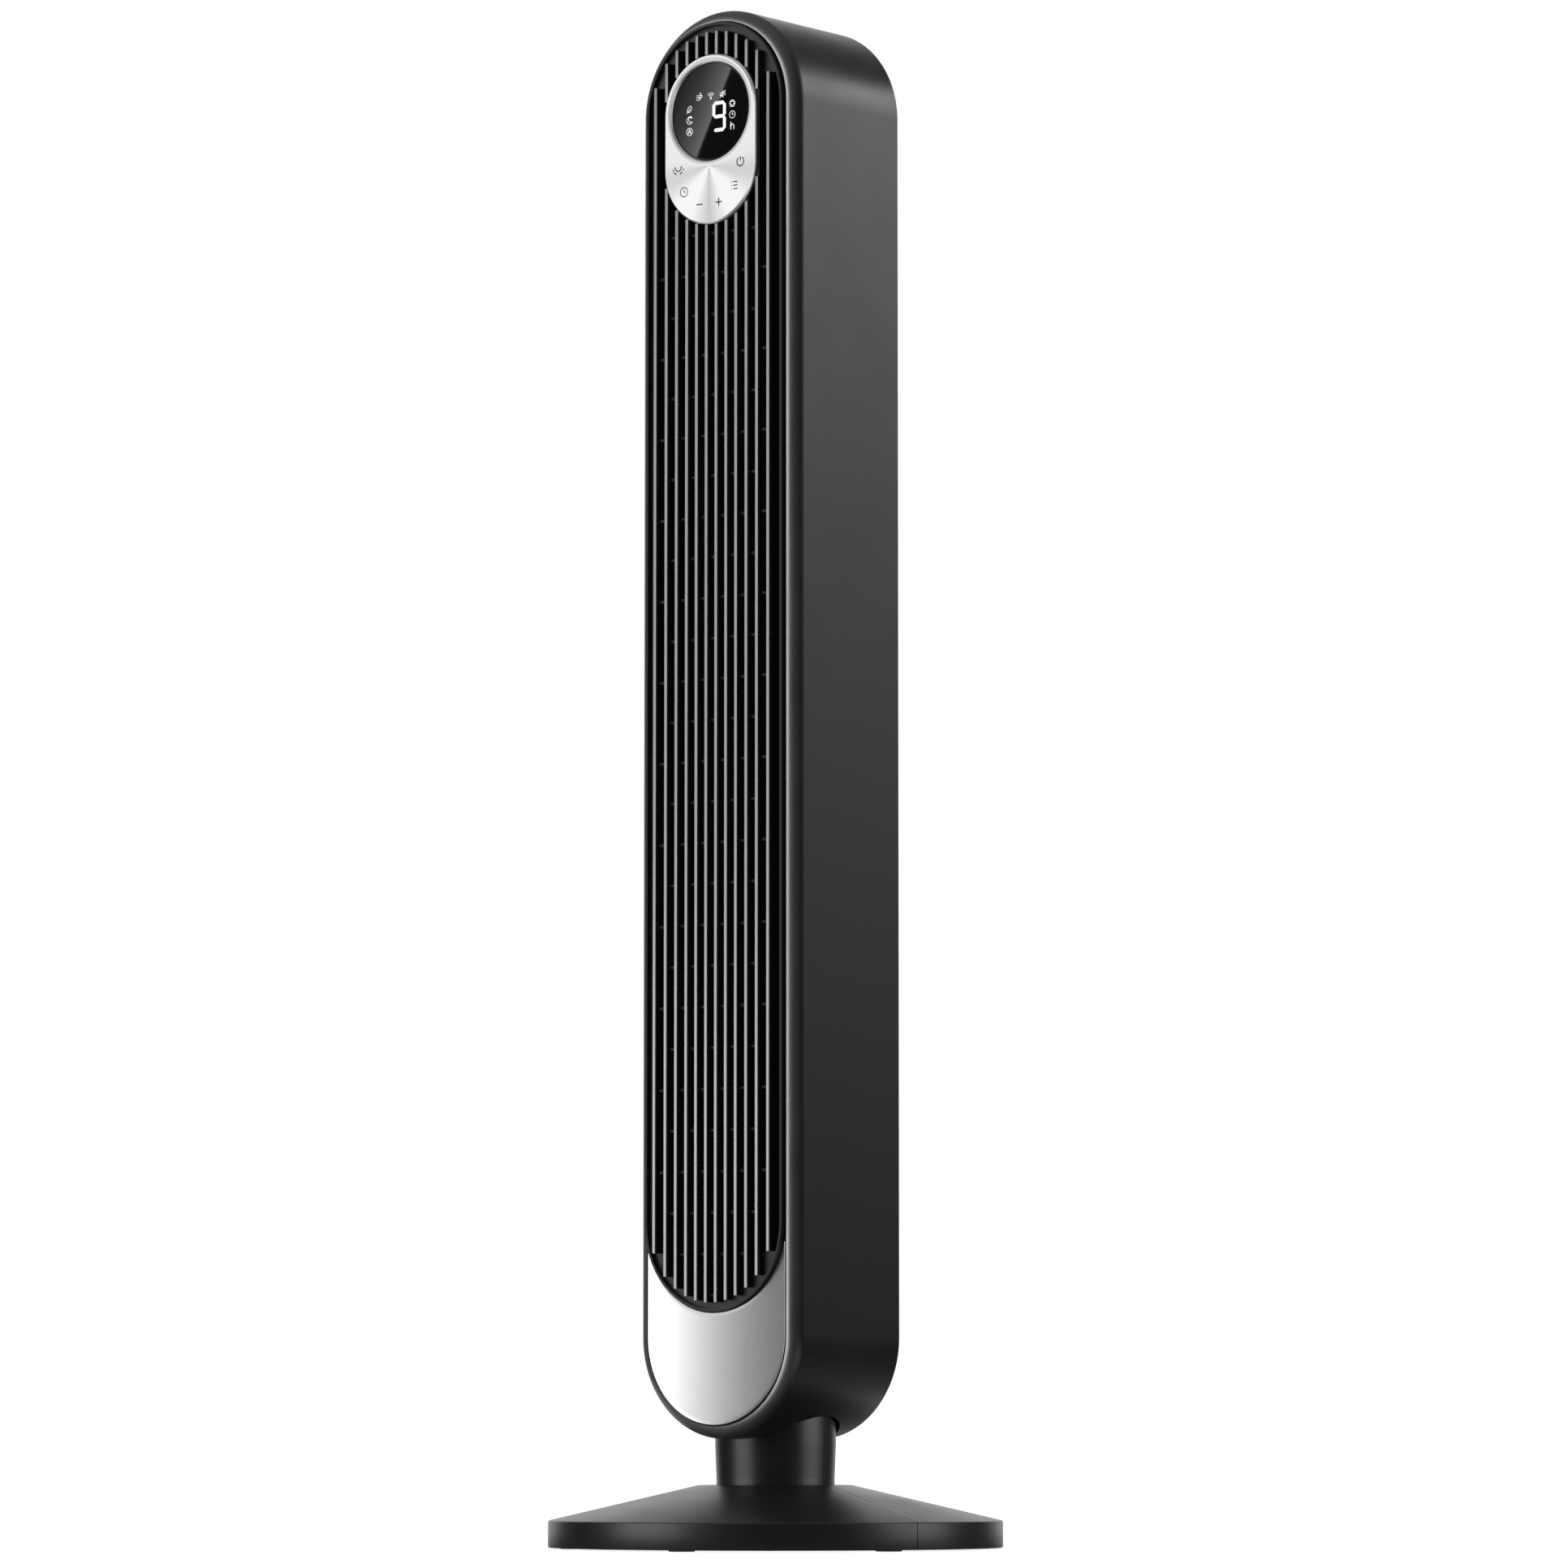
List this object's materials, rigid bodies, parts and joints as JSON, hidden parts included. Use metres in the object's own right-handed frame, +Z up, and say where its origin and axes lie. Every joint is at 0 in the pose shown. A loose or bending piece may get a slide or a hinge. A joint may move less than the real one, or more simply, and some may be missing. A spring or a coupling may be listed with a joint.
{
  "type": "tower fan",
  "caption": "Slim upright tower fan with a stadium-shaped head, slatted air outlet, round display panel and swivelling neck on a two-piece round base.",
  "frame": {"origin": "centre of the base's underside, on the floor", "axes": "+Z up along the tower, -Y is the way the air leaves, +X to the right of a person facing the outlet"},
  "size_m": [0.315, 0.315, 1.0704],
  "materials": {
    "satin_black": "satin moulded",
    "grille_black": "satin moulded",
    "trim_silver": "fine metallic satin",
    "brushed_silver": "spun brushed",
    "display_glass": "polished",
    "symbol_light": "lit",
    "icon_print": "printed",
    "inner_black": "moulded",
    "circuit_board": "solder mask",
    "component_dark": "moulded",
    "zinc_steel": "zinc plated",
    "bright_steel": "ground",
    "bronze": "sintered",
    "laminated_core": "laminated",
    "black_rubber": "matte",
    "white_acetal": "moulded",
    "cast_ballast": "cast"
  },
  "bodies": {
    "stand": {"base_front_half": "satin_black", "base_rear_half": "satin_black", "base_screws": "zinc_steel", "bottom_cover": "inner_black", "ballast_plate": "cast_ballast", "rubber_feet": "black_rubber", "cord_gland": "inner_black", "neck_column": "satin_black", "neck_nut": "inner_black", "thrust_washer": "white_acetal", "swivel_gear": "white_acetal", "swivel_retainer": "zinc_steel", "retainer_screws": "zinc_steel"},
    "head": {"bearing_plate": "inner_black", "bearing_rubber": "black_rubber", "board_components": "component_dark", "board_standoffs": "component_dark", "bracket_screws": "zinc_steel", "control_housing": "inner_black", "control_pcb": "circuit_board", "control_plate": "brushed_silver", "display_lens": "display_glass", "display_ring": "trim_silver", "display_symbols": "symbol_light", "front_grille": "grille_black", "handle_cup": "grille_black", "lower_panel": "trim_silver", "main_pcb": "circuit_board", "main_shell": "satin_black", "motor_bracket": "zinc_steel", "motor_bushes": "bronze", "motor_can": "bright_steel", "motor_rubbers": "black_rubber", "motor_stator": "laminated_core", "rear_cover": "grille_black", "rear_screws": "zinc_steel", "scroll_wall": "inner_black", "slat_trims": "trim_silver", "swivel_motor": "bright_steel", "swivel_motor_screws": "zinc_steel", "swivel_plate": "white_acetal", "swivel_screws": "zinc_steel", "tongue_wall": "inner_black", "touch_icons": "icon_print", "upper_bush": "bronze"},
    "impeller_rotor": {"impeller": "inner_black", "motor_shaft": "bright_steel", "upper_shaft": "bright_steel", "motor_rotor": "laminated_core"},
    "pinion": {"swivel_pinion": "white_acetal", "pinion_shaft": "bright_steel"}
  },
  "joints": [
    {"name": "head_swivel", "type": "hinge", "parent": "stand", "child": "head", "pos_m": [0, 0, 0.0975], "axis": [0, 0, 1], "range_deg": [-45, 45]},
    {"name": "impeller_spin", "type": "hinge", "parent": "head", "child": "impeller_rotor", "pos_m": [0, 0, 0.56], "axis": [0, 0, 1], "continuous": true},
    {"name": "pinion_spin", "type": "hinge", "parent": "head", "child": "pinion", "pos_m": [0, -0.0351, 0.106], "axis": [0, 0, 1], "range_deg": [-166, 166]}
  ],
  "couplings": [
    {"joint": "pinion_spin", "follows": "head_swivel", "ratio": 3.6667}
  ]
}
